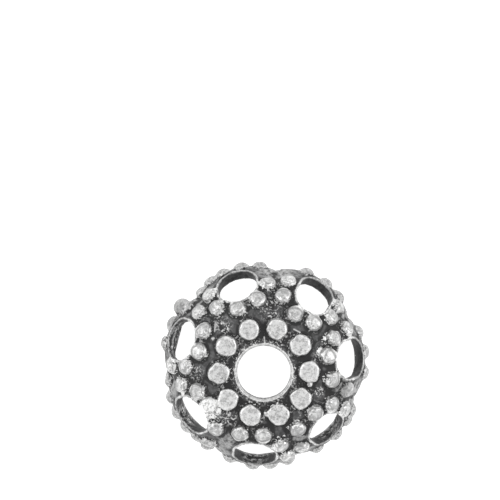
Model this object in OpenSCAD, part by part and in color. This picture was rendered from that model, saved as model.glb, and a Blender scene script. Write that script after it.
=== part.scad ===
// Domed bead cap, cast in one piece: seven round lobes about a bore. Each lobe is pierced by one
// opening and has granules round it, and ten larger granules stand in a ring about the bore.
// The origin is on the bore's axis in the plane of the rim, and +Z points out of the dome's top.

/* [Dome] */
// Number of lobes about the axis
lobe_count = 7; // [6:1:8]
// Distance of each lobe's centre from the axis
lobe_offset = 2.33; // [2.15:0.01:2.45]
// Outer radius of each lobe
lobe_radius = 4.25; // [4.1:0.05:4.4]
// Bearing of the first lobe, counted from +X
lobe_bearing = 6; // [0:1:30]
// Height of the upright skirt below the lobes
skirt_h = 0.45; // [0.4:0.05:0.5]
// Thickness of the cast wall
wall = 0.57; // [0.5:0.01:0.65]
// Height of the collar's top above the lobes
collar_rise = 0.12; // [0.08:0.01:0.2]
// Slope of the collar's flank
collar_slope = 22; // [20:1:26]

/* [Bore] */
// Diameter of the bore that the thread or pin passes through
bore_d = 3.5; // [3:0.1:3.8]
// Width of the raised lip round the bore
bore_lip_w = 0.2; // [0.12:0.01:0.3]
// Height of that lip above the collar
bore_lip_h = 0.07; // [0.04:0.01:0.12]

/* [Openings] */
// Width of the opening in each lobe
opening_w = 2.66; // [2.3:0.02:2.8]
// Length of the opening, down the slope
opening_l = 2.94; // [2.7:0.02:3.1]
// Lean of the opening's axis away from upright
opening_lean = 57; // [55:0.5:59]
// Width of the raised lip round each opening
opening_lip_w = 0.15; // [0.1:0.01:0.2]
// Height of that lip above the lobe
opening_lip_h = 0.09; // [0.05:0.01:0.12]

/* [Notches] */
// Height of the notch in the rim between two lobes
notch_h = 0.75; // [0.6:0.05:1]
// Width of the slit at the notch's top
notch_w = 0.24; // [0.18:0.02:0.4]
// Radius of the corners where the notch meets the rim
notch_corner_r = 0.6; // [0.4:0.05:0.7]

/* [Granules] */
// Diameter of the granules round the openings
grain_d = 1.16; // [1.08:0.01:1.2]
// Height of their worn tops above the wall
grain_h = 0.36; // [0.32:0.01:0.4]
// Gap between an opening and the granules round it
grain_gap = 0.01; // [0:0.01:0.05]
// Diameter of the granules along the rim
rim_grain_d = 1.16; // [1.1:0.01:1.22]
// Height of their worn tops above the wall
rim_grain_h = 0.45; // [0.4:0.01:0.46]
// Height of their centres above the rim
rim_grain_z = 0.56; // [0.5:0.01:0.6]
// Height of their trimmed undersides above the rim
rim_grain_foot = 0.06; // [0.03:0.01:0.1]
// Part of the radius by which granules round the openings and along the rim are sunk in the wall
grain_sink = 0.2; // [0.12:0.02:0.26]

/* [Ring of large granules] */
// Number of large granules round the bore
ring_count = 10; // [9:1:11]
// Diameter of the large granules at their feet
ring_grain_d = 1.5; // [1.4:0.02:1.54]
// Diameter of their worn tops
ring_top_d = 1.3; // [1.2:0.02:1.36]
// Height of those tops above the wall
ring_grain_h = 0.34; // [0.28:0.02:0.38]
// Gap between the bore and the large granules
ring_gap = 0.47; // [0.42:0.01:0.55]
// Bearing of the first large granule
ring_bearing = 1; // [0:1:35]

/* [Dimples] */
// Diameter of the dimple behind a granule, as a part of the granule's diameter
dimple_share = 0.8; // [0.6:0.05:0.9]
// Depth of the dimples, as a part of the wall
dimple_depth = 0.5; // [0.3:0.05:0.6]

/* [Hidden] */
$fn = 64;

// Granules on the dome round the openings, a column for each: their sizes as parts of the granules'
// diameter, then a row for each lobe of their turns about the opening, counted from downhill, and
// a row for each lobe of their steps away from it, as parts of the granules' diameter
CHAIN_SIZE = [0.96, 1, 1.02, 1, 0.97, 0.92];
CHAIN_TURN = [
    [85, 132, 166, 208, 255],
    [92, 130, 168, 203, 246, 290],
    [85, 126, 169, 213, 257],
    [81, 131, 175, 215, 259, 302],
    [71, 131, 182, 213, 253],
    [88, 130, 170, 208],
    [87, 133, 170, 210, 262],
];
CHAIN_STEP = [
    [0.13, 0.11, 0.11, 0.13, 0.15],
    [0.19, 0.26, 0.15, 0.04, -0.08, -0.06],
    [0.08, 0.12, -0.02, -0.01, 0.13],
    [0.01, -0.1, -0.02, 0.06, 0.26, 0.4],
    [0.43, 0.02, 0.13, 0.14, 0.18],
    [0.16, 0.09, 0.22, 0.32],
    [-0.03, 0.08, 0.08, 0.34, 0.2],
];

// Granules along the rim: a row for each lobe of their turns about the lobe's upright axis
RIM_TURN = [
    [-17, 2, 20],
    [-20, -4, 15],
    [-24, -7, 10, 23],
    [-8, 10],
    [-36, -21, -6, 9, 22],
    [-22, -1, 15],
    [-21, 0, 16, 25],
];

// Granules that lie in the valleys between some lobes: the lobe that each stands on, its turn
// about that lobe's upright axis, then its step above the rim's row, its size and its lift off the
// wall as parts of the granules' diameter
LOBE = 0;
TURN = 1;
STEP = 2;
SIZE = 3;
LIFT = 4;
VALLEY = [
    [2, 36, 0.1, 0.94, 0],
    [3, -25, 0.2, 1, 0.3],
    [3, 41, 0.3, 0.9, 0],
    [4, 33, 0.05, 1, 0.15],
    [5, 31, 0.05, 0.96, 0.05],
];

// The lobes as the cast pattern has them: turn away from even spacing, step outwards as a part of
// the lobes' offset, and the opening's width and length as parts of the openings' own
DRIFT = 0;
OUT = 1;
WIDTH = 2;
LENGTH = 3;
LOBES = [
    [0.5, 0.04, 0.94, 1.12],
    [-2, 0.08, 0.88, 1.14],
    [-1, 0.02, 0.98, 1.02],
    [0.5, 0.03, 1.01, 1.04],
    [1, 0, 1.02, 1.08],
    [1, 0.04, 1.04, 1.08],
    [1.5, 0.02, 0.92, 1.06],
];

// Stray beads of metal: bearing, distance from the axis as a part of the lobes' reach, and diameter
// as a part of a granule's
BEARING = 0;
PLACE = 1;
SPAN = 2;
STRAYS = [
    [273, 0.42, 0.3],
    [345, 0.475, 0.32],
    [147, 0.6, 0.24],
];

lobe_step = 360 / lobe_count;
bore_r = bore_d / 2;
reach = lobe_offset + lobe_radius;
collar_top = skirt_h + lobe_radius + collar_rise;
ring_r = bore_r + ring_gap + ring_grain_d / 2;
cut = 1; // how far every cutter runs past the metal

// One lobe's row in the table of lobes
function lobe_row(i) = LOBES[i % len(LOBES)];

// Bearing of one lobe
function lobe_at(i) = lobe_bearing + lobe_step * i + lobe_row(i)[DRIFT];

// Distance of one lobe's centre from the axis
function lobe_out(i) = lobe_offset * (1 + lobe_row(i)[OUT]);

// Plan position of one lobe's centre
function lobe_centre(i) = lobe_out(i) * [cos(lobe_at(i)), sin(lobe_at(i))];

// Width and length of one lobe's opening
function opening_size(i) = [opening_w * lobe_row(i)[WIDTH], opening_l * lobe_row(i)[LENGTH]];

// Height above the rim of a shell of lobes with radius r, at the plan position p
function shell_z(p, r) = skirt_h
    + max([for (i = [0:lobe_count - 1]) sqrt(max(0, r * r - pow(norm(p - lobe_centre(i)), 2)))]);

// Half of the size of one lobe's opening, measured in the direction turn
function opening_edge(i, turn) =
    let (size = opening_size(i)) (size[0] + (size[1] - size[0]) * abs(cos(turn))) / 2;

// Turn about one lobe's opening of the granule in the column k
function chain_turn(i, k) = CHAIN_TURN[i % len(CHAIN_TURN)][k];

// Distance along the wall from the opening's centre to that granule
function chain_out(i, k) =
    opening_edge(i, chain_turn(i, k)) + grain_gap
    + grain_d * (0.5 + CHAIN_STEP[i % len(CHAIN_STEP)][k]);

// Plan position of one large granule
function ring_at(i) =
    let (bearing = ring_bearing + 360 / ring_count * i) ring_r * [cos(bearing), sin(bearing)];

// Places the children on a lobe: at its centre, with +X pointing away from the bore
module on_lobe(i) {
    rotate([0, 0, lobe_at(i)]) translate([lobe_out(i), 0, skirt_h]) children();
}

// Part of the children that lies above the height z, within the distance r of the axis
module above(z, r) {
    intersection() {
        children();
        translate([-r, -r, z]) cube([2 * r, 2 * r, r]);
    }
}

// Union of the lobes: half spheres of radius r on upright skirts
module lobes(r) {
    above(skirt_h, reach + cut) union() {
        for (i = [0:lobe_count - 1]) on_lobe(i) sphere(r);
    }
    for (i = [0:lobe_count - 1])
        on_lobe(i) translate([0, 0, -skirt_h]) cylinder(h = skirt_h, r = r);
}

// Low cone round the bore, which rises a little out of the lobes, and its lip
module collar() {
    foot_z = skirt_h + lobe_radius - wall / 2;
    top_r = bore_r + bore_lip_w;
    foot_r = top_r + (collar_top - foot_z) / tan(collar_slope);
    translate([0, 0, foot_z]) {
        cylinder(h = collar_top - foot_z, r1 = foot_r, r2 = top_r);
        cylinder(h = collar_top + bore_lip_h - foot_z, r = top_r);
    }
}

// Outline of one lobe's opening, wider all round by grow, with its length along X
module opening_outline(i, grow) {
    size = opening_size(i);
    r = size[0] / 2 + grow;
    step = (size[1] - size[0]) / 2;
    for (side = [-step, step]) translate([side, 0]) circle(r);
    translate([-step, -r]) square([2 * step, 2 * r]);
}

// Raised lip round one lobe's opening: a pad that follows the lobe, drilled later
module opening_pad(i) {
    intersection() {
        sphere(lobe_radius + opening_lip_h);
        rotate([0, opening_lean, 0]) translate([0, 0, lobe_radius - wall])
            linear_extrude(wall + cut) opening_outline(i, opening_lip_w);
    }
}

// Cutter for one lobe's opening, wider all round by grow, which starts in the hollow
module opening_cut(i, grow) {
    rotate([0, opening_lean, 0]) translate([0, 0, lobe_radius / 2])
        linear_extrude(lobe_radius / 2 + cut) opening_outline(i, grow);
}

// Cutter for one notch, which lies along +X: a slit with rounded corners at the rim
module notch_cut() {
    half = notch_w / 2 + notch_corner_r;
    translate([reach / 2, 0, 0]) rotate([90, 0, 90]) linear_extrude(reach) {
        difference() {
            translate([-half, -cut]) square([2 * half, notch_corner_r + cut]);
            for (side = [-half, half]) translate([side, notch_corner_r]) circle(notch_corner_r);
        }
        translate([-notch_w / 2, 0]) square([notch_w, notch_h]);
    }
}

// One granule of diameter d on top of a lobe, sunk in its wall, lifted by lift and worn down to the
// height h
module grain(d, h, lift) {
    intersection() {
        translate([0, 0, lobe_radius + lift - grain_sink * d / 2]) sphere(d = d);
        sphere(lobe_radius + lift + h);
    }
}

// Puts the children where each granule on the dome of one lobe stands
module beside_opening(i, k) {
    rotate([0, opening_lean, 0])
        rotate([0, chain_out(i, k) / lobe_radius * 180 / PI, chain_turn(i, k)])
            children();
}

// Granules on the dome of one lobe
module chain_grains(i) {
    for (k = [0:len(CHAIN_TURN[i % len(CHAIN_TURN)]) - 1])
        beside_opening(i, k) grain(grain_d * CHAIN_SIZE[k], grain_h, 0);
}

// One granule along the rim of a lobe: its turn, its height above the rim, its size and its lift
module rim_grain(turn, z, size, lift) {
    rotate([0, acos((z - skirt_h) / lobe_radius), turn])
        grain(rim_grain_d * size, rim_grain_h, rim_grain_d * lift);
}

// Granules along the rim of one lobe
module rim_grains(i) {
    for (turn = RIM_TURN[i % len(RIM_TURN)])
        rim_grain(turn, rim_grain_z, 1, 0);
}

// Granules in the valleys
module valley_grains() {
    for (row = VALLEY)
        on_lobe(row[LOBE])
            rim_grain(row[TURN], rim_grain_z + row[STEP] * rim_grain_d, row[SIZE], row[LIFT]);
}

// Dimples behind the granules on the dome of one lobe
module lobe_dimples(i) {
    for (k = [0:len(CHAIN_TURN[i % len(CHAIN_TURN)]) - 1]) {
        d = grain_d * CHAIN_SIZE[k] * dimple_share;
        beside_opening(i, k)
            translate([0, 0, lobe_radius - wall + dimple_depth * wall - d / 2]) sphere(d = d);
    }
}

// Large granules in a ring about the bore, tapered and worn flat on top
module ring_grains() {
    for (i = [0:ring_count - 1]) {
        p = ring_at(i);
        translate([p[0], p[1], shell_z(p, lobe_radius) - wall])
            cylinder(h = wall + ring_grain_h, d1 = ring_grain_d, d2 = ring_top_d);
    }
}

// Dimples behind the large granules
module ring_dimples() {
    d = ring_top_d * dimple_share;
    for (i = [0:ring_count - 1]) {
        p = ring_at(i);
        translate([p[0], p[1], shell_z(p, lobe_radius - wall) + dimple_depth * wall - d / 2])
            sphere(d = d);
    }
}

// Stray beads that the casting left between the granules
module strays() {
    for (row = STRAYS) {
        p = reach * row[PLACE] * [cos(row[BEARING]), sin(row[BEARING])];
        translate([p[0], p[1], shell_z(p, lobe_radius)]) sphere(d = grain_d * row[SPAN]);
    }
}

// The whole cap, one casting
module cap() {
    color("silver") difference() {
        union() {
            lobes(lobe_radius);
            collar();
            above(rim_grain_foot, reach + cut) difference() {
                union() {
                    for (i = [0:lobe_count - 1]) on_lobe(i) {
                        chain_grains(i);
                        rim_grains(i);
                    }
                    valley_grains();
                }
                for (i = [0:lobe_count - 1]) on_lobe(i) opening_cut(i, opening_lip_w);
            }
            for (i = [0:lobe_count - 1]) on_lobe(i) opening_pad(i);
            ring_grains();
            strays();
        }
        lobes(lobe_radius - wall);
        for (i = [0:lobe_count - 1]) {
            on_lobe(i) {
                opening_cut(i, 0);
                lobe_dimples(i);
            }
            rotate([0, 0, (lobe_at(i) + lobe_at(i + 1)) / 2]) notch_cut();
        }
        ring_dimples();
        cylinder(h = collar_top + bore_lip_h + cut, r = bore_r);
    }
}

cap();
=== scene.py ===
"""A granulated bead cap: one casting of seven pierced lobes about a bore, plated and antiqued.

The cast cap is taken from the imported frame, remade in small even cells, softened and roughened as
cast metal is, and finished as antique silver: dark oxide in the field and the hollow, bright metal
where it is rubbed. Settings are in metres. The casting is worked, and the marks on it are placed,
in millimetres.
"""

import functools
import math
from typing import NamedTuple

import bmesh
import bpy
import numpy as np
from mathutils import Matrix, Vector, noise


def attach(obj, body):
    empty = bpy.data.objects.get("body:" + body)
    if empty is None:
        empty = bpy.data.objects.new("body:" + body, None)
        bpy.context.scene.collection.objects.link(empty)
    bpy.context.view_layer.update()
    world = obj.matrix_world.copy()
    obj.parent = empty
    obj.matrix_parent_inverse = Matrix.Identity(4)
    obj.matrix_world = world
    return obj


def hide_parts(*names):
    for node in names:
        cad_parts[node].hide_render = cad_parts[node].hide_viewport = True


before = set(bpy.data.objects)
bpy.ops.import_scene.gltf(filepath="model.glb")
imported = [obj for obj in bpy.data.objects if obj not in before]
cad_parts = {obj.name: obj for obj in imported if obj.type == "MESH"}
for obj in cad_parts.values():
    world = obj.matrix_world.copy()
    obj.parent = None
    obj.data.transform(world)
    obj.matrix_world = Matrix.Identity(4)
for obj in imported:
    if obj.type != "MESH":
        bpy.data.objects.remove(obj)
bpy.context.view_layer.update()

bl_info = {
    "name": "Bead cap",
    "version": (1, 0, 0),
    "blender": (4, 5, 0),
    "location": "View3D > Sidebar > Bead cap",
    "description": "Casts and finishes a granulated bead cap and sets its studio",
    "category": "Object",
}

NODE = "cap"
PIECE = "cap_casting"
MM = 1000.0  # millimetres in a metre
WELD = 1e-7  # metres within which the corners of the frame's loose triangles are one


class Lobe(NamedTuple):
    """How one lobe of the pattern differs from the others."""

    drift: float  # degrees away from even spacing
    out: float  # step outwards, as a part of the lobes' offset


LOBES = (
    Lobe(0.5, 0.04),
    Lobe(-2.0, 0.08),
    Lobe(-1.0, 0.02),
    Lobe(0.5, 0.03),
    Lobe(1.0, 0.0),
    Lobe(1.0, 0.04),
    Lobe(1.5, 0.02),
)


class Band(NamedTuple):
    """Where a measure starts to count, and where it counts in full."""

    low: float
    high: float

    def share(self, values):
        """0 up to low, 1 from high on, and a smooth rise between."""
        share = np.clip((values - self.low) / (self.high - self.low), 0, 1)
        return share * share * (3 - 2 * share)


class Patch(NamedTuple):
    """A round patch of the dome as seen from above."""

    bearing: float  # degrees from +X
    out: float  # distance from the bore's axis, in millimetres
    size: float  # radius, in millimetres

    def centre(self):
        """Its middle in plan."""
        bearing = math.radians(self.bearing)
        return self.out * math.cos(bearing), self.out * math.sin(bearing)

    def fade(self, core):
        """The band of distances in which it fades, beyond a core that is a share of it."""
        return Band(self.size * core, self.size)


BURNISHED = (
    Patch(214.5, 4.30, 1.05),
    Patch(19.0, 3.95, 0.42),
)
EATEN = (
    Patch(25.0, 4.62, 0.68),
    Patch(187.0, 5.55, 0.45),
    Patch(353.8, 4.20, 0.45),
    Patch(295.0, 4.12, 0.40),
    Patch(284.4, 4.62, 0.40),
    Patch(248.4, 2.33, 0.42),
    Patch(287.0, 2.36, 0.42),
    Patch(147.0, 6.80, 0.60),
    Patch(166.0, 6.85, 0.60),
)
PITTED = (
    Patch(84.5, 4.15, 0.95),
    Patch(132.0, 4.08, 0.80),
    Patch(18.0, 4.00, 0.70),
    Patch(340.0, 3.87, 0.45),
    Patch(181.0, 4.50, 0.70),
    Patch(222.0, 4.40, 0.90),
    Patch(232.0, 3.85, 0.80),
)
SMEARED = (
    Patch(347.0, 5.45, 0.70),
    Patch(297.0, 5.25, 0.75),
    Patch(242.0, 5.40, 0.75),
    Patch(146.0, 7.00, 0.65),
    Patch(155.0, 6.95, 0.60),
)
STREAKED = (
    Patch(316.0, 5.9, 1.1),
    Patch(264.0, 5.9, 1.1),
    Patch(212.0, 6.1, 1.1),
    Patch(162.0, 6.1, 1.4),
)
THINNED = (
    Patch(163.0, 6.20, 1.70),
    Patch(215.0, 6.10, 1.50),
    Patch(10.0, 6.30, 1.30),
)


class Scratch(NamedTuple):
    """A bright scratch as seen from above, its ends in millimetres from the bore's axis."""

    start: tuple[float, float]
    end: tuple[float, float]


SCRATCHES = (
    Scratch((1.97, 2.82), (2.36, 2.62)),
    Scratch((-3.20, 3.20), (-3.24, 2.62)),
    Scratch((0.04, 1.98), (0.02, 2.32)),
)
SCRATCH_WIDTH = 0.06  # millimetres
SCRATCH_CORE = 0.4  # share of its width over which a scratch is full
PATCH_CORE = 0.45  # share of its radius over which a patch of the finish is full
THINNED_CORE = 0.5  # the same for a place where the wall is thinned

# Bands of height above the rim, in millimetres
OFF_RIM = Band(0.02, 0.3)
ABOVE_RIM_EDGE = Band(0.05, 0.35)
ABOVE_SKIRT = Band(0.3, 0.9)
ABOVE_RIM_GRANULES = Band(0.9, 1.5)
RIM_FACE = Band(0.015, 0.05)
FLANK = Band(1.5, 2.8)
COLLAR_TOP = Band(4.6, 4.75)

# Bands of distance from the bore's axis, in millimetres
OFF_BORE = Band(1.8, 2.1)
BORE_MOUTH = Band(1.9, 2.4)
OUTLYING = Band(3.7, 4.1)

# Bands of distance from the lip's outer edge, of relief above the field, of depth in the wall
# from the hollow's face, and of how much farther the second nearest lobe is, in millimetres
BORE_EDGE = Band(-0.17, -0.14)
BY_THE_LIP = Band(0.0, 0.4)
LIP_LINE = Band(0.01, 0.06)
GRANULE = Band(0.04, 0.12)
RUBBED_TOP = Band(0.06, 0.11)
RINGED = Band(0.15, 0.3)
SPLASH = Band(0.02, 0.06)
SHARP = Band(0.004, 0.010)
# Where the crevices darken, partly as oxide and partly as painted shade
CREVICE = Band(0.002, 0.014)
THINNED_DEPTH = Band(0.0, 0.45)
OFF_HOLLOW = Band(-0.1, 0.1)
HOLLOW_FACE = Band(0.02, 0.1)
DIMPLE = Band(0.05, 0.2)
BETWEEN_LOBES = Band(0.2, 0.9)

# Bands of facing, from -1 towards the lobe's centre to 1 away from it
HOLLOW = Band(-0.9, -0.4)
OUTER = Band(-0.2, 0.3)
OPENING_WALL = Band(0.3, 0.6)
OUTWARD = Band(0.4, 0.8)
DEEP_HOLLOW = -0.96

# Bands of the slope across a granule: the upper side, then the band of painted shade and the
# bright crescent of painted highlight on the lower side
UPPER_SIDE = Band(0.12, 0.35)
SHADE_BAND_TOP = Band(0.14, 0.24)
SHADE_BAND_FOOT = Band(0.34, 0.42)
CRESCENT = Band(0.40, 0.52)
LEVEL_TOP = 0.05  # least slope that has a downhill side

# Bands of the grain, from 0 to 1
WINDING_LINE = Band(0.91, 0.97)
WINDING_BREAK = Band(0.44, 0.54)
LOOSE_CRUMB = Band(0.54, 0.62)
ROUGH_PLACE = Band(0.55, 0.7)
SPLASHED_PLACE = Band(0.45, 0.6)
RIDGE_SPECKLE = Band(0.46, 0.56)
LIP_BREAK = Band(0.3, 0.5)
BURNISHED_PLACE = Band(0.42, 0.6)
BURNISHED_EDGE = Band(0.0, 0.1)
BURNISHED_HOLE = Band(0.50, 0.60)
SMEAR = Band(0.30, 0.58)
STREAK = Band(0.50, 0.57)
STREAK_LINE = Band(0.2, 0.8)
STREAK_BREAK = Band(0.40, 0.52)
MOTTLE = Band(0.36, 0.58)
TOP_HOLE = Band(0.36, 0.44)
# Glints of painted highlight on the granules' upper sides
GLINT = Band(0.52, 0.6)
PATINA = Band(0.35, 0.7)

# Bands of the direction's rise above the floor, for the light tent
TENT_SIDE = Band(0.1, 0.45)
TENT_TOP = Band(0.78, 0.93)

# How many rings of neighbours a measure of the skin is spread over
HOLLOW_SPREAD = 4
GRANULE_SPREAD = 2
GAP_SPREAD = 5
EDGE_SPREAD = 2
HUMP_SPREAD = 12
NEAR_SPREAD = 24
CROWN_SPREAD = 10
NOTE_SPREAD = 2

# The mould's own marks, with scales in cells to a millimetre
SOFTENINGS = 2
SOFTENING = 0.5
WOBBLE_SCALE = 0.9
LUMP_SCALE = 2.3
GRIT_SCALE = 2.6
GRIT_FRACTAL = (0.8, 2.1, 4)  # fall-off, lacunarity and octaves


class Ragged:
    """How ragged the granules' outlines are, as a multiple of the grain."""

    plain = 0.8
    upper_side = 1.3
    eaten = 4.0


class Wear:
    """How strongly each mark shows, from 0 to 1."""

    edges = 0.8
    bore_edge = 0.5
    loose_crumbs = 0.8
    rough_places = 0.3
    pitted_places = 0.8
    ridges = 0.7
    splashes = 0.6
    lip_crumbs = 0.85
    burnished_holes = 0.7
    smears = 0.8
    smears_of_valleys = 0.75
    streaks = 0.5
    scratches = 0.7


class Tone:
    """How bright the rubbed metal is, from grey at 0 to silver at 1, and what it loses."""

    plain = 0.30
    mottle = 0.6
    # The bright crescent on the lower side is painted highlight
    crescent = 0.9
    streaks = 0.7
    rim_face = 0.12
    rim_face_mottle = 0.35
    lost_outlying = 0.05
    lost_in_rings = 0.45
    lost_in_shade_band = 0.7
    lost_near_rim = 0.5
    # The dark band across the lower side is painted shade
    lost_in_smears = 0.7
    lost_in_holes = 0.7


class Oxide:
    """The patina's shades as shares of its colour, and how it lies."""

    # The darkest share also gives the painted shade in the crevices
    darkest = 0.3
    palest = 1.9
    cloudy = 0.5
    lost_in_hollow = 0.75
    metallic = 0.5
    roughness = 0.58


LIP_LINE_INSET = 0.05  # millimetres from the lip's outer edge to its bright line
LIP_LINE_STRAY = 0.12
STREAK_CELLS = (1.0, 1.0, 4.0)  # squashes the streaks' grain level
STREAK_WAVES = 22.0  # radians to a millimetre of the wall's depth
STREAK_BEND = 16.0
RING_WAVES = 60.0  # radians to a millimetre of relief
RING_BEND = 8.0
RUBBED_ROUGHNESS = 0.42
RING_BUMP = 0.5
RUBBED_BUMP = 0.6
BUMP_STRENGTH = 0.7
BUMP_DEPTH = 0.00003  # metres

# The studio, in metres
FLOOR_RADIUS = 0.6
FLOOR_SIDES = 64
FLOOR_ROUGHNESS = 0.9
SOFTBOX_SIZE = 0.16
SOFTBOXES = {"softbox_left": (-0.30, 0.12, 0.20), "softbox_right": (0.30, 0.05, 0.20)}
SENSOR_WIDTH = 36.0  # millimetres
CLIP_START = 0.01
# A Mix node's sockets share their names, so they are picked by number
MIX_SHARE, MIX_LOW, MIX_HIGH, MIX_COLOUR = 0, 6, 7, 2


class CastingSettings(bpy.types.PropertyGroup):
    """Sizes of the dome and of the marks that casting leaves on it."""

    lobe_count: bpy.props.IntProperty(
        name="Lobes", description="Number of lobes about the bore", default=7, min=3
    )
    lobe_offset: bpy.props.FloatProperty(
        name="Lobe offset",
        description="Distance of each lobe's centre from the bore's axis",
        default=0.00233,
        precision=5,
        unit="LENGTH",
    )
    lobe_radius: bpy.props.FloatProperty(
        name="Lobe radius",
        description="Radius of the wall's outer face on each lobe",
        default=0.00425,
        precision=5,
        unit="LENGTH",
    )
    skirt: bpy.props.FloatProperty(
        name="Skirt",
        description="Height of the upright skirt below the lobes",
        default=0.00045,
        precision=5,
        unit="LENGTH",
    )
    wall: bpy.props.FloatProperty(
        name="Wall",
        description="Thickness of the cast wall",
        default=0.00057,
        precision=5,
        unit="LENGTH",
    )
    bore_lip: bpy.props.FloatProperty(
        name="Bore lip",
        description="Outer radius of the lip round the bore",
        default=0.00195,
        precision=5,
        unit="LENGTH",
    )
    collar_top: bpy.props.FloatProperty(
        name="Collar",
        description="Height of the collar's top above the rim",
        default=0.00482,
        precision=5,
        unit="LENGTH",
    )
    collar_foot: bpy.props.FloatProperty(
        name="Collar foot",
        description="Radius of the collar's foot",
        default=0.00295,
        precision=5,
        unit="LENGTH",
    )
    collar_slope: bpy.props.FloatProperty(
        name="Collar slope",
        description="Slope of the collar's flank",
        default=math.radians(22),
        subtype="ANGLE",
    )
    lobe_bearing: bpy.props.FloatProperty(
        name="First lobe",
        description="Bearing of the first lobe",
        default=math.radians(6),
        subtype="ANGLE",
    )
    cell: bpy.props.FloatProperty(
        name="Cell",
        description="Size of the even cells that the casting is remade in",
        default=0.000076,
        precision=6,
        unit="LENGTH",
    )
    kept_faces: bpy.props.IntProperty(
        name="Faces",
        description="Number of triangles that the casting keeps",
        default=190000,
        min=50000,
        max=199000,
    )
    seed: bpy.props.IntProperty(
        name="Seed", description="Start of the bends that nobody planned", default=5, min=1
    )
    wobble: bpy.props.FloatProperty(
        name="Wobble",
        description="How far the wax pattern's forms stray from true",
        default=0.00005,
        precision=6,
        unit="LENGTH",
    )
    lumps: bpy.props.FloatProperty(
        name="Lumps",
        description="How far the granules' outlines stray from round",
        default=0.00009,
        precision=6,
        unit="LENGTH",
    )
    swell: bpy.props.FloatProperty(
        name="Swell",
        description="How much the cast granules fill out beyond the pattern's",
        default=0.00004,
        precision=6,
        unit="LENGTH",
    )
    gap_fill: bpy.props.FloatProperty(
        name="Gap fill",
        description="Depth of the metal that ran between the rim's granules",
        default=0.00014,
        precision=6,
        unit="LENGTH",
    )
    thinning: bpy.props.FloatProperty(
        name="Thinning",
        description="How much of the wall is missing inside, below some of the openings",
        default=0.00022,
        precision=6,
        unit="LENGTH",
    )
    grit: bpy.props.FloatProperty(
        name="Grit",
        description="Height of the roughness that the mould left",
        default=0.000018,
        precision=6,
        unit="LENGTH",
    )


class FinishSettings(bpy.types.PropertyGroup):
    """Colours of the antique silver finish."""

    silver: bpy.props.FloatVectorProperty(
        name="Rubbed silver",
        description="Plating where it is rubbed bright",
        subtype="COLOR",
        default=(0.90, 0.90, 0.895),
    )
    grey: bpy.props.FloatVectorProperty(
        name="Worn grey",
        description="Plating that is worn but not bright",
        subtype="COLOR",
        default=(0.25, 0.25, 0.25),
    )
    oxide: bpy.props.FloatVectorProperty(
        name="Oxide",
        description="Dark patina of the field and the hollow",
        subtype="COLOR",
        default=(0.084, 0.084, 0.085),
    )


class StudioSettings(bpy.types.PropertyGroup):
    """The floor, the light and the camera."""

    floor_colour: bpy.props.FloatVectorProperty(
        name="Floor",
        description="Colour of the floor",
        subtype="COLOR",
        default=(0.35, 0.35, 0.35),
    )
    floor_glow: bpy.props.FloatProperty(
        name="Floor glow",
        description="Light that the translucent floor passes from below",
        default=1.0,
        min=0.0,
    )
    tent_top: bpy.props.FloatProperty(
        name="Tent top", description="Brightness of the light tent overhead", default=0.75, min=0.0
    )
    tent_side: bpy.props.FloatProperty(
        name="Tent sides",
        description="Brightness of the light tent half-way down",
        default=1.15,
        min=0.0,
    )
    tent_foot: bpy.props.FloatProperty(
        name="Tent foot",
        description="Brightness of the light tent near the floor",
        default=0.6,
        min=0.0,
    )
    softbox_power: bpy.props.FloatProperty(
        name="Softboxes", description="Power of each softbox", default=0.2, unit="POWER"
    )
    view_width: bpy.props.FloatProperty(
        name="View width",
        description="Width that the camera sees at the rim's plane",
        default=0.0335,
        precision=4,
        unit="LENGTH",
    )
    view_distance: bpy.props.FloatProperty(
        name="View distance",
        description="Distance from the camera to the point that it aims at",
        default=0.2,
        unit="LENGTH",
    )
    aim: bpy.props.FloatVectorProperty(
        name="Aim",
        description="Point of the rim's plane that the camera aims at",
        size=2,
        default=(-0.000937, 0.007675),
        precision=5,
        unit="LENGTH",
    )
    lean_back: bpy.props.FloatProperty(
        name="Lean back",
        description="Lean of the camera away from upright, towards +Y",
        default=math.radians(4.55),
        subtype="ANGLE",
    )
    lean_side: bpy.props.FloatProperty(
        name="Lean aside",
        description="Lean of the camera away from upright, towards +X",
        default=math.radians(0.3),
        subtype="ANGLE",
    )


def lobe_centres_mm(casting):
    """Centres of the lobes in the rim's plane."""
    centres = []
    for i in range(casting.lobe_count):
        lobe = LOBES[i % len(LOBES)]
        bearing = casting.lobe_bearing + i * math.tau / casting.lobe_count
        bearing += math.radians(lobe.drift)
        out = casting.lobe_offset * (1 + lobe.out) * MM
        centres.append((out * math.cos(bearing), out * math.sin(bearing), 0.0))
    return centres


def dots(first, second):
    """Dot products of two lists of vectors, pair by pair."""
    return np.einsum("ij,ij->i", first, second)


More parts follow.
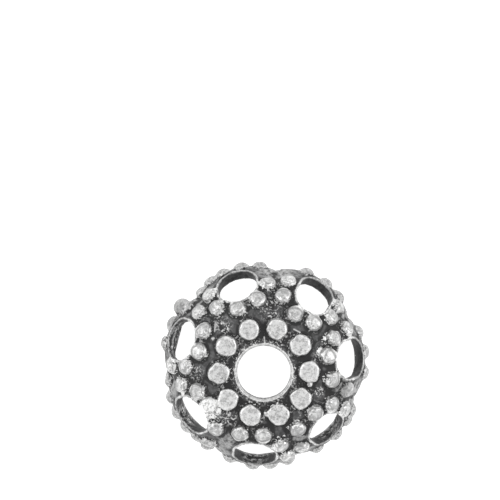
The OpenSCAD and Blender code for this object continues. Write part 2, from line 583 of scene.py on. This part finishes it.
class Skin:
    """A mesh's vertices as arrays, with the means over neighbours that shape a casting."""

    def __init__(self, mesh):
        self.mesh = mesh
        self.co = np.zeros(len(mesh.vertices) * 3, np.float32)
        mesh.vertices.foreach_get("co", self.co)
        self.co = self.co.reshape(-1, 3).astype(float)
        self.ends = np.zeros(len(mesh.edges) * 2, np.int32)
        mesh.edges.foreach_get("vertices", self.ends)
        self.ends = self.ends.reshape(-1, 2)
        self.degree = np.bincount(self.ends.ravel(), minlength=len(self.co))
        self.filled = np.zeros(len(self.co))

    def mean(self, values, times=1):
        """Each vertex's value replaced by its neighbours' mean, as often as asked."""
        first, second = self.ends.T
        for _ in range(times):
            columns = values.reshape(len(values), -1)
            total = np.stack(
                [
                    np.bincount(first, column[second], len(values))
                    + np.bincount(second, column[first], len(values))
                    for column in columns.T
                ],
                axis=1,
            )
            values = (total / self.degree[:, None]).reshape(values.shape)
        return values

    def normals(self):
        """Unit normals of the vertices where they now are."""
        self.mesh.vertices.foreach_set("co", self.co.astype(np.float32).ravel())
        self.mesh.update()
        found = np.zeros(len(self.co) * 3, np.float32)
        self.mesh.vertex_normals.foreach_get("vector", found)
        return found.reshape(-1, 3).astype(float)

    def out(self):
        """Distances of the vertices from the bore's axis."""
        return np.hypot(self.co[:, 0], self.co[:, 1])

    def note(self, name, values):
        """Keeps one number a vertex as an attribute for the material."""
        attribute = self.mesh.attributes.new(name, "FLOAT", "POINT")
        attribute.data.foreach_set("value", values.astype(np.float32))


def plain_mesh(mesh, finisher):
    """A new mesh: the given one with the modifier that the finisher sets up."""
    blank = bpy.data.objects.new("blank", mesh)
    bpy.context.scene.collection.objects.link(blank)
    finisher(blank)
    plain = bpy.data.meshes.new_from_object(
        blank.evaluated_get(bpy.context.evaluated_depsgraph_get())
    )
    bpy.data.objects.remove(blank)
    bpy.data.meshes.remove(mesh)
    return plain


def even_mesh(casting):
    """The frame's cap as one closed skin of even cells, in millimetres."""
    bm = bmesh.new()
    bm.from_mesh(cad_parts[NODE].data)
    bmesh.ops.remove_doubles(bm, verts=bm.verts, dist=WELD)
    bmesh.ops.scale(bm, vec=(MM, MM, MM), verts=bm.verts)
    rough = bpy.data.meshes.new("rough_casting")
    bm.to_mesh(rough)
    bm.free()

    def even_cells(blank):
        cells = blank.modifiers.new("Even cells", "REMESH")
        cells.mode = "VOXEL"
        cells.voxel_size = casting.cell * MM
        cells.use_smooth_shade = True

    return plain_mesh(rough, even_cells)


def lighten_hollow(mesh, casting):
    """The mesh with fewer faces in the hollow, where nothing is as fine as outside."""
    skin = Skin(mesh)
    facing = skin.mean(lobe_facing(skin, casting), HOLLOW_SPREAD)
    hollow = np.flatnonzero(facing < DEEP_HOLLOW)

    def fewer_faces(blank):
        group = blank.vertex_groups.new(name="hollow")
        group.add(hollow.tolist(), 1.0, "REPLACE")
        thinner = blank.modifiers.new("Fewer faces", "DECIMATE")
        thinner.vertex_group = group.name
        thinner.ratio = casting.kept_faces / sum(len(p.vertices) - 2 for p in mesh.polygons)

    return plain_mesh(mesh, fewer_faces)


def lobe_arms(skin, casting):
    """Each point's place from its nearest lobe's centre, as a length and a direction.

    Along the skirt it is taken level from the lobe's axis."""
    centres = np.array(lobe_centres_mm(casting))
    arms = skin.co[:, None, :] - centres[None, :, :]
    arms[:, :, 2] = np.maximum(arms[:, :, 2] - casting.skirt * MM, 0)
    lengths = np.linalg.norm(arms, axis=2)
    picked = np.arange(len(arms)), lengths.argmin(axis=1)
    return lengths[picked], arms[picked] / lengths[picked][:, None]


def valleys(skin, casting):
    """1 in the valleys between lobes, 0 on the lobes."""
    level = skin.co[:, None, :2] - np.array(lobe_centres_mm(casting))[None, :, :2]
    nearest, second = np.sort(np.linalg.norm(level, axis=2), axis=1)[:, :2].T
    return 1 - BETWEEN_LOBES.share(second - nearest)


def lobe_facing(skin, casting):
    """1 where a wall faces away from its lobe's centre, -1 where it faces the centre."""
    _, directions = lobe_arms(skin, casting)
    return dots(directions, skin.normals())


def wall_depth(skin, casting):
    """Distance of each point from the hollow's face, through the wall."""
    lengths, _ = lobe_arms(skin, casting)
    return lengths - (casting.lobe_radius - casting.wall) * MM


def field_height(skin, casting):
    """Height of each point above the lobes and the collar."""
    lengths, _ = lobe_arms(skin, casting)
    above_lobes = lengths - casting.lobe_radius * MM
    past_lip = skin.out() - casting.bore_lip * MM
    cone = casting.collar_top * MM - past_lip * math.tan(casting.collar_slope)
    above_cone = (skin.co[:, 2] - cone) * math.cos(casting.collar_slope)
    on_collar = skin.out() < casting.collar_foot * MM
    return np.where(on_collar, np.minimum(above_lobes, above_cone), above_lobes)


def downhill(skin, casting):
    """How far each point's normal tips down the slope of the wall beneath it."""
    _, directions = lobe_arms(skin, casting)
    down = directions * directions[:, 2:3] - np.array([0.0, 0.0, 1.0])
    down /= np.maximum(np.linalg.norm(down, axis=1), LEVEL_TOP)[:, None]
    return dots(down, skin.normals())


def soften(skin):
    """Rounds what the mould couldn't hold sharp."""
    for _ in range(SOFTENINGS):
        skin.co += SOFTENING * (skin.mean(skin.co) - skin.co)


def free_to_move(skin):
    """0 on the rim's flat face and at the bore, 1 on the rest."""
    return OFF_RIM.share(skin.co[:, 2]) * OFF_BORE.share(skin.out())


def granular(skin, casting):
    """1 on the granules, 0 on the field between them."""
    return skin.mean(GRANULE.share(field_height(skin, casting)), GRANULE_SPREAD)


def fill_out(skin, casting):
    """Swells the granules above the rim by as much as the metal rounds them out."""
    above_rim = ABOVE_RIM_GRANULES.share(skin.co[:, 2]) * free_to_move(skin)
    swollen = above_rim * granular(skin, casting) * casting.swell * MM
    skin.co += swollen[:, None] * skin.normals()


def fill_gaps(skin, casting):
    """Fills the gaps between the rim's granules a little, as the metal ran into them."""
    height = skin.co[:, 2]
    beside_rim = ABOVE_RIM_EDGE.share(height) * (1 - ABOVE_RIM_GRANULES.share(height))
    outside = OUTWARD.share(lobe_facing(skin, casting))
    gaps = skin.mean(beside_rim * outside * (1 - granular(skin, casting)), GAP_SPREAD)
    _, directions = lobe_arms(skin, casting)
    skin.filled = gaps * casting.gap_fill * MM
    skin.co += skin.filled[:, None] * directions


def thin_wall(skin, casting):
    """Takes the wall back from inside, on the rim's side of some of the openings."""
    _, directions = lobe_arms(skin, casting)
    near = np.zeros(len(skin.co))
    for patch in THINNED:
        reach = np.linalg.norm(skin.co[:, :2] - patch.centre(), axis=1)
        near = np.maximum(near, 1 - patch.fade(THINNED_CORE).share(reach))
    inner = 1 - THINNED_DEPTH.share(wall_depth(skin, casting))
    thinned = near * inner * ABOVE_SKIRT.share(skin.co[:, 2]) * casting.thinning * MM
    skin.co += thinned[:, None] * directions


def stray(skin, casting):
    """Bends the forms a little out of true, as a hand-made wax is."""
    _, directions = lobe_arms(skin, casting)
    free = free_to_move(skin)
    lumps = casting.lumps * granular(skin, casting)
    for scale, reach in ((WOBBLE_SCALE, casting.wobble), (LUMP_SCALE, lumps)):
        bend = np.array([noise.noise_vector(Vector(p) * scale) for p in skin.co])
        bend -= dots(bend, directions)[:, None] * directions
        skin.co += bend * (free * reach * MM)[:, None]


def roughen(skin, casting):
    """Raises the grit that the mould left, along the normals."""
    grit = np.array([noise.fractal(Vector(p) * GRIT_SCALE, *GRIT_FRACTAL) for p in skin.co])
    skin.co += (free_to_move(skin) * grit * casting.grit * MM)[:, None] * skin.normals()


def note_form(skin, casting):
    """Notes for the material how far each point stands out, and which way the wall faces."""
    normals = skin.normals()
    for name, spread in (("edge", EDGE_SPREAD), ("hump", HUMP_SPREAD)):
        above = dots(skin.co - skin.mean(skin.co, spread), normals)
        skin.note(name, skin.mean(above, NOTE_SPREAD))
    relief = field_height(skin, casting) - skin.filled
    skin.note("relief", relief)
    skin.note("near", skin.mean(np.maximum(relief, 0), NEAR_SPREAD))
    skin.note("facing", skin.mean(lobe_facing(skin, casting)))
    skin.note("crown", skin.mean(-downhill(skin, casting), CROWN_SPREAD))
    skin.note("valley", valleys(skin, casting))
    skin.note("pit", wall_depth(skin, casting))


class Wire:
    """A number in a shader. Arithmetic on it adds Math nodes to its tree."""

    def __init__(self, bench, socket):
        self.bench = bench
        self.socket = socket

    def _math(self, operation, *numbers):
        sockets = dict(enumerate(numbers))
        return self.bench.node("ShaderNodeMath", {"operation": operation}, sockets)

    def __add__(self, other):
        return self._math("ADD", self, other)

    __radd__ = __add__

    def __sub__(self, other):
        return self._math("SUBTRACT", self, other)

    def __rsub__(self, other):
        return self._math("SUBTRACT", other, self)

    def __mul__(self, other):
        return self._math("MULTIPLY", self, other)

    __rmul__ = __mul__

    def least(self, other):
        """The lesser of the two."""
        return self._math("MINIMUM", self, other)

    def most(self, other):
        """The greater of the two."""
        return self._math("MAXIMUM", self, other)

    def size(self):
        """The number without its sign."""
        return self._math("ABSOLUTE", self)

    def wave(self):
        """Its sine."""
        return self._math("SINE", self)

    def rise(self, band):
        """0 below the band, 1 above it, and a smooth rise between."""
        return self.bench.node(
            "ShaderNodeMapRange",
            {"interpolation_type": "SMOOTHSTEP"},
            {"Value": self, "From Min": band.low, "From Max": band.high},
        )


def most(*masks):
    """The greatest of several numbers."""
    return functools.reduce(Wire.most, masks)


class Bench:
    """Adds nodes to one node tree."""

    def __init__(self, tree):
        self.tree = tree
        tree.nodes.clear()

    def node(self, kind, settings=None, inputs=None, output=0):
        """One node: its settings are made first, then its sockets take values or wires."""
        made = self.tree.nodes.new(kind)
        for name, value in (settings or {}).items():
            setattr(made, name, value)
        for key, value in (inputs or {}).items():
            if isinstance(value, Wire):
                self.tree.links.new(value.socket, made.inputs[key])
            else:
                made.inputs[key].default_value = value
        return Wire(self, made.outputs[output]) if made.outputs else None

    def vector(self, operation, first, second=None, scale=None, output=0):
        """Arithmetic on vectors."""
        given = {0: first, 1: second, "Scale": scale}
        return self.node(
            "ShaderNodeVectorMath",
            {"operation": operation},
            {key: value for key, value in given.items() if value is not None},
            output,
        )

    def blend(self, share, low, high):
        """A colour between two, by a number from 0 to 1."""
        sockets = {MIX_SHARE: share, MIX_LOW: low, MIX_HIGH: high}
        return self.node("ShaderNodeMix", {"data_type": "RGBA"}, sockets, output=MIX_COLOUR)

    def attribute(self, name):
        """A number that the casting noted at each vertex."""
        return self.node("ShaderNodeAttribute", {"attribute_name": name}, output="Fac")

    def noise(self, place, scale, detail, roughness):
        """Cloudy grain from 0 to 1, with scale cells to a millimetre of place."""
        return self.node(
            "ShaderNodeTexNoise",
            {"noise_dimensions": "3D"},
            {"Vector": place, "Scale": scale, "Detail": detail, "Roughness": roughness},
        )


def colour(rgb, share=1.0):
    """A colour for a socket, or a share of it."""
    return (*(share * c for c in rgb), 1.0)


def patch_mask(bench, flat, patches):
    """1 inside any of the patches, 0 well outside, by the place in plan."""
    mask = 0.0
    for patch in patches:
        reach = bench.vector("DISTANCE", flat, (*patch.centre(), 0.0), output="Value")
        mask = (1 - reach.rise(patch.fade(PATCH_CORE))).most(mask)
    return mask


def scratch_mask(bench, flat):
    """1 along the scratches, by the place in plan."""
    mask = 0.0
    for scratch in SCRATCHES:
        start, end = (Vector((*point, 0.0)) for point in scratch)
        along = (end - start).normalized()
        from_start = bench.vector("SUBTRACT", flat, tuple(start))
        run = bench.vector("DOT_PRODUCT", from_start, tuple(along), output="Value")
        run = run.most(0.0).least((end - start).length)
        foot = bench.vector("SCALE", tuple(along), scale=run)
        gap = bench.vector("DISTANCE", from_start, foot, output="Value")
        fade = Band(SCRATCH_WIDTH * SCRATCH_CORE, SCRATCH_WIDTH)
        mask = (1 - gap.rise(fade)).most(mask)
    return mask


class Surface:
    """What the finish reads at each point: its place, the casting's notes, grain and patches."""

    def __init__(self, bench, lip_mm):
        object_place = bench.node("ShaderNodeTexCoord", output="Object")
        place = bench.vector("SCALE", object_place, scale=MM)
        self.flat = bench.vector("MULTIPLY", place, (1.0, 1.0, 0.0))
        self.height = bench.node("ShaderNodeSeparateXYZ", None, {0: place}, output="Z")
        self.out = bench.vector("LENGTH", self.flat, output="Value")
        self.from_lip = self.out - lip_mm

        self.relief = bench.attribute("relief")
        self.near = bench.attribute("near")
        self.crown = bench.attribute("crown")
        self.valley = bench.attribute("valley")
        self.pit = bench.attribute("pit")
        self.facing = bench.attribute("facing")
        self.edge = bench.attribute("edge")
        self.hump = bench.attribute("hump")

        self.fine = bench.noise(place, scale=7.0, detail=2.0, roughness=0.5)
        self.finer = bench.noise(place, scale=12.0, detail=2.0, roughness=0.6)
        self.coarse = bench.noise(place, scale=1.0, detail=3.0, roughness=0.6)
        self.cloud = bench.noise(place, scale=3.0, detail=4.0, roughness=0.65)
        self.winding = bench.noise(place, scale=2.6, detail=1.0, roughness=0.5)
        level = bench.vector("MULTIPLY", place, STREAK_CELLS)
        self.streak = bench.noise(level, scale=1.6, detail=3.0, roughness=0.6)

        self.burnished = patch_mask(bench, self.flat, BURNISHED)
        self.eaten = patch_mask(bench, self.flat, EATEN)
        self.pitted = patch_mask(bench, self.flat, PITTED)
        self.smeared = patch_mask(bench, self.flat, SMEARED)
        self.streaked = patch_mask(bench, self.flat, STREAKED)

        self.outer = self.facing.rise(OUTER)
        self.near_rim = (1 - self.height.rise(FLANK)) * self.outer
        self.outlying = self.out.rise(OUTLYING)
        self.upper = self.crown.rise(UPPER_SIDE)
        # Crevices at the granules' feet, darkened partly as oxide and partly as painted shade
        self.crevice_oxide_and_shade = (0 - self.hump).rise(CREVICE) * self.outer

    def grain(self, **weights):
        """Noises mixed by name, from 0 up to the sum of their weights."""
        first, *others = (getattr(self, name) * weight for name, weight in weights.items())
        return sum(others, first)

    def swing(self, **weights):
        """Noises mixed by name, to either side of 0."""
        return self.grain(**weights) - 0.5 * sum(weights.values())


def granule_tops(on):
    """The granules, with ragged upper edges, and broken up where they are eaten."""
    raggedness = on.upper * Ragged.upper_side + Ragged.plain + on.eaten * Ragged.eaten
    ragged = on.swing(fine=0.20, finer=0.06, cloud=0.16) * raggedness
    return (on.relief + ragged).rise(RUBBED_TOP) * on.outer


def sharp_edges(on):
    """The openings' lips and what else is sharp outside."""
    return (on.edge + on.swing(cloud=0.01)).rise(SHARP) * on.outer * Wear.edges


def bore_lip(on):
    """The lip round the bore: a broken bright line, and a fainter one at the bore's edge."""
    to_line = (on.from_lip + LIP_LINE_INSET + on.swing(fine=LIP_LINE_STRAY)).size()
    line = (1 - to_line.rise(LIP_LINE)) * on.fine.rise(LIP_BREAK)
    bore_edge = (1 - on.from_lip.rise(BORE_EDGE)) * Wear.bore_edge
    return line.most(bore_edge) * on.height.rise(COLLAR_TOP)


def crumbs(on):
    """Crumbs of bright metal, loose and winding: at the granules' feet, by the lip, in the pitted
    and rough places and on the hollow's ridges."""
    winding = 1 - on.swing(winding=1.7, cloud=0.3).size()
    winding = winding.rise(WINDING_LINE) * on.fine.rise(WINDING_BREAK)
    loose = on.grain(fine=0.6, finer=0.4).rise(LOOSE_CRUMB) * Wear.loose_crumbs
    rough = on.coarse.rise(ROUGH_PLACE) * Wear.rough_places
    pitted = rough.most(on.pitted * Wear.pitted_places) * on.outer
    splashed = on.near.rise(SPLASH) * on.coarse.rise(SPLASHED_PLACE) * Wear.splashes
    by_lip = (1 - on.from_lip.rise(BY_THE_LIP)) * Wear.lip_crumbs
    speckled = on.grain(coarse=0.5, cloud=0.5).rise(RIDGE_SPECKLE)
    hollow_face = (1 - on.outer) * (1 - on.pit.rise(HOLLOW_FACE))
    ridges = hollow_face * speckled.most(1 - on.out.rise(BORE_MOUTH)) * Wear.ridges
    return winding.most(loose) * most(pitted, ridges, splashed, by_lip)


def burnished_places(on):
    """Places rubbed white, with holes left in them."""
    worn = (on.burnished + on.swing(cloud=1.4, fine=1.2)).rise(BURNISHED_PLACE)
    solid = 1 - on.fine.rise(BURNISHED_HOLE) * Wear.burnished_holes
    return worn * on.burnished.rise(BURNISHED_EDGE) * solid * on.outer


def smears(on):
    """Thin grey metal smeared near the rim, mostly in the valleys, and in the smeared patches."""
    in_valleys = on.valley * Wear.smears_of_valleys + (1 - Wear.smears_of_valleys)
    places = (on.smeared * on.outer).most(on.near_rim * in_valleys)
    smeared = on.grain(cloud=0.8, fine=0.2).rise(SMEAR) * Wear.smears
    # Nothing is smeared in the crevices, which keep their oxide and painted shade
    return smeared * places * (1 - on.crevice_oxide_and_shade)


def wall_streaks(on):
    """Streaks and broken lines along the walls of some of the openings."""
    waves = (on.pit * STREAK_WAVES + on.streak * STREAK_BEND).wave()
    lines = waves.rise(STREAK_LINE) * on.cloud.rise(STREAK_BREAK)
    streaks = (on.streak.rise(STREAK) * Wear.streaks).most(lines)
    on_wall = (1 - on.facing.rise(OPENING_WALL)) * on.pit.rise(OFF_HOLLOW)
    return streaks * on.streaked * on_wall


def granule_rings(on):
    """Rings that the tool left round the outlying granules."""
    rings = (on.relief * RING_WAVES + on.cloud * RING_BEND).wave() * 0.5 + 0.5
    return rings * on.outlying * on.relief.rise(RINGED)


def granule_tone(on, mottle, rings):
    """Tone of the granules: mottled and ringed, grey near the rim, and on the outlying ones a
    painted highlight in a bright crescent and a band of painted shade across the lower side, and
    glints of painted highlight on the upper."""
    lower = on.swing(cloud=0.4) - on.crown
    # A band of painted shade across the lower side, and a crescent of painted highlight below it
    shade_band = lower.rise(SHADE_BAND_TOP) * (1 - lower.rise(SHADE_BAND_FOOT)) * on.outlying
    crescent = lower.rise(CRESCENT) * on.outlying
    # Glints of painted highlight on the upper side
    glints = on.upper * on.fine.rise(GLINT) * on.outlying
    holes = on.upper * (1 - on.fine.rise(TOP_HOLE))
    greyed = (on.near_rim * Tone.lost_near_rim).most(on.smeared * Tone.lost_in_smears)
    tone = mottle * Tone.mottle + Tone.plain - on.outlying * Tone.lost_outlying
    tone = tone * (1 - rings * Tone.lost_in_rings) * (1 - shade_band * Tone.lost_in_shade_band)
    tone = most(tone, crescent * Tone.crescent, glints)
    return tone * (1 - greyed) * (1 - holes * Tone.lost_in_holes)


def patina(on):
    """How pale the oxide is: darkest in the crevices, in the hollow and in its dimples. The
    darkening in the crevices is partly oxide held there and partly painted shade.
    """
    pale = on.cloud.rise(PATINA) * Oxide.cloudy + on.fine * (1 - Oxide.cloudy)
    inside = 1 - on.facing.rise(HOLLOW)
    pale = pale * (1 - inside * Oxide.lost_in_hollow) * (1 - inside * on.pit.rise(DIMPLE))
    # Darker in the crevices: partly oxide, partly painted shade
    return pale * (1 - on.crevice_oxide_and_shade)


def antique_silver(casting, finish):
    """Oxidised silver plating, rubbed bright where it stands out."""
    material = bpy.data.materials.new("antique_silver")
    material.use_nodes = True
    bench = Bench(material.node_tree)
    on = Surface(bench, casting.bore_lip * MM)

    lip = bore_lip(on)
    rim_face = 1 - on.height.rise(RIM_FACE)
    worn = burnished_places(on)
    streaks = wall_streaks(on)
    scratches = scratch_mask(bench, on.flat) * on.outer * Wear.scratches
    smooth = most(granule_tops(on), sharp_edges(on), lip, rim_face, worn)
    rubbed = most(smooth, crumbs(on), streaks, smears(on), scratches)

    rings = granule_rings(on)
    mottle = on.grain(cloud=0.65, fine=0.15, finer=0.2).rise(MOTTLE)
    rim_tone = rim_face * (mottle * Tone.rim_face_mottle + Tone.rim_face)
    tone = most(granule_tone(on, mottle, rings), worn, rim_tone, lip, streaks * Tone.streaks)

    metal = bench.blend(tone, colour(finish.grey), colour(finish.silver))
    shades = (colour(finish.oxide, share) for share in (Oxide.darkest, Oxide.palest))
    field = bench.blend(patina(on), *shades)
    bumps = on.grain(fine=0.5, finer=0.3, cloud=0.6) + rings * RING_BUMP + rubbed * RUBBED_BUMP
    normal = bench.node(
        "ShaderNodeBump",
        None,
        {"Strength": BUMP_STRENGTH, "Distance": BUMP_DEPTH, "Height": bumps},
    )
    shader = bench.node(
        "ShaderNodeBsdfPrincipled",
        None,
        {
            "Base Color": bench.blend(rubbed, field, metal),
            "Metallic": rubbed * (1 - Oxide.metallic) + Oxide.metallic,
            "Roughness": Oxide.roughness - rubbed * (Oxide.roughness - RUBBED_ROUGHNESS),
            "Normal": normal,
        },
    )
    bench.node("ShaderNodeOutputMaterial", None, {"Surface": shader})
    return material


class BEADCAP_OT_cast_cap(bpy.types.Operator):
    """Cast the cap from its frame and finish it as antique silver"""

    bl_idname = "beadcap.cast_cap"
    bl_label = "Cast the cap"

    def execute(self, context):
        casting = context.scene.beadcap_casting
        noise.seed_set(casting.seed)
        mesh = lighten_hollow(even_mesh(casting), casting)
        skin = Skin(mesh)
        soften(skin)
        fill_out(skin, casting)
        fill_gaps(skin, casting)
        thin_wall(skin, casting)
        stray(skin, casting)
        roughen(skin, casting)
        note_form(skin, casting)
        mesh.transform(Matrix.Scale(1 / MM, 4))
        mesh.name = PIECE
        mesh.materials.clear()
        mesh.materials.append(antique_silver(casting, context.scene.beadcap_finish))
        piece = bpy.data.objects.new(PIECE, mesh)
        context.scene.collection.objects.link(piece)
        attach(piece, "root")
        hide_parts(NODE)
        return {"FINISHED"}


def light_tent(world, studio):
    """A white tent, brightest half-way up."""
    world.use_nodes = True
    bench = Bench(world.node_tree)
    direction = bench.node("ShaderNodeTexCoord", output="Generated")
    up = bench.node("ShaderNodeSeparateXYZ", None, {0: direction}, output="Z")
    foot, side, top = (
        colour([level] * 3) for level in (studio.tent_foot, studio.tent_side, studio.tent_top)
    )
    glow = bench.blend(up.rise(TENT_TOP), bench.blend(up.rise(TENT_SIDE), foot, side), top)
    background = bench.node("ShaderNodeBackground", None, {"Color": glow, "Strength": 1.0})
    bench.node("ShaderNodeOutputWorld", None, {"Surface": background})


def glowing_floor(studio):
    """A pale translucent sheet with light behind it."""
    bm = bmesh.new()
    bmesh.ops.create_circle(bm, cap_ends=True, segments=FLOOR_SIDES, radius=FLOOR_RADIUS)
    mesh = bpy.data.meshes.new("floor")
    bm.to_mesh(mesh)
    bm.free()
    material = bpy.data.materials.new("pale_sheet")
    material.use_nodes = True
    bench = Bench(material.node_tree)
    shader = bench.node(
        "ShaderNodeBsdfPrincipled",
        None,
        {
            "Base Color": colour(studio.floor_colour),
            "Roughness": FLOOR_ROUGHNESS,
            "Emission Color": colour((1.0, 1.0, 1.0)),
            "Emission Strength": studio.floor_glow,
        },
    )
    bench.node("ShaderNodeOutputMaterial", None, {"Surface": shader})
    mesh.materials.append(material)
    floor = bpy.data.objects.new("floor", mesh)
    bpy.context.scene.collection.objects.link(floor)


def facing_matrix(place, aim):
    """A transform that puts a lamp or camera at place, looking at aim, with +Y up in its view."""
    back = (place - aim).normalized()
    right = Vector((0, 1, 0)).cross(back).normalized()
    turned = Matrix((right, back.cross(right), back)).transposed().to_4x4()
    turned.translation = place
    return turned


def softbox(name, place, power):
    """A square softbox that looks at the cap."""
    light = bpy.data.lights.new(name, "AREA")
    light.shape = "SQUARE"
    light.size = SOFTBOX_SIZE
    light.energy = power
    lamp = bpy.data.objects.new(name, light)
    bpy.context.scene.collection.objects.link(lamp)
    lamp.matrix_world = facing_matrix(Vector(place), Vector((0, 0, 0)))


def photo_camera(studio):
    """A long lens almost straight above the cap."""
    aim = Vector((*studio.aim, 0))
    back = Vector((math.tan(studio.lean_side), math.tan(studio.lean_back), 1)).normalized()
    data = bpy.data.cameras.new("camera")
    data.sensor_width = SENSOR_WIDTH
    data.lens = data.sensor_width * studio.view_distance / studio.view_width
    data.clip_start = CLIP_START
    camera = bpy.data.objects.new("camera", data)
    bpy.context.scene.collection.objects.link(camera)
    camera.matrix_world = facing_matrix(aim + back * studio.view_distance, aim)
    bpy.context.scene.camera = camera


class BEADCAP_OT_set_studio(bpy.types.Operator):
    """Set the floor, the light tent, the softboxes and the camera"""

    bl_idname = "beadcap.set_studio"
    bl_label = "Set the studio"

    def execute(self, context):
        studio = context.scene.beadcap_studio
        scene = context.scene
        scene.world = bpy.data.worlds.new("light_tent")
        light_tent(scene.world, studio)
        scene.view_settings.view_transform = "Standard"
        glowing_floor(studio)
        for name, place in SOFTBOXES.items():
            softbox(name, place, studio.softbox_power)
        photo_camera(studio)
        return {"FINISHED"}


class BEADCAP_PT_panel(bpy.types.Panel):
    """Bead cap"""

    bl_label = "Bead cap"
    bl_idname = "BEADCAP_PT_panel"
    bl_space_type = "VIEW_3D"
    bl_region_type = "UI"
    bl_category = "Bead cap"

    def draw(self, context):
        for group, operator in (
            (context.scene.beadcap_casting, None),
            (context.scene.beadcap_finish, BEADCAP_OT_cast_cap.bl_idname),
            (context.scene.beadcap_studio, BEADCAP_OT_set_studio.bl_idname),
        ):
            box = self.layout.box()
            for name in group.__annotations__:
                box.prop(group, name)
            if operator:
                box.operator(operator)


GROUPS = {
    "beadcap_casting": CastingSettings,
    "beadcap_finish": FinishSettings,
    "beadcap_studio": StudioSettings,
}
CLASSES = (*GROUPS.values(), BEADCAP_OT_cast_cap, BEADCAP_OT_set_studio, BEADCAP_PT_panel)


def register():
    """Adds the settings, the operators and the panel."""
    for cls in CLASSES:
        bpy.utils.register_class(cls)
    for name, group in GROUPS.items():
        setattr(bpy.types.Scene, name, bpy.props.PointerProperty(type=group))


def unregister():
    """Takes them away again."""
    for name in GROUPS:
        delattr(bpy.types.Scene, name)
    for cls in reversed(CLASSES):
        bpy.utils.unregister_class(cls)


def main():
    """Casts the cap and sets its studio."""
    register()
    bpy.ops.beadcap.cast_cap()
    bpy.ops.beadcap.set_studio()


if __name__ == "__main__":
    main()
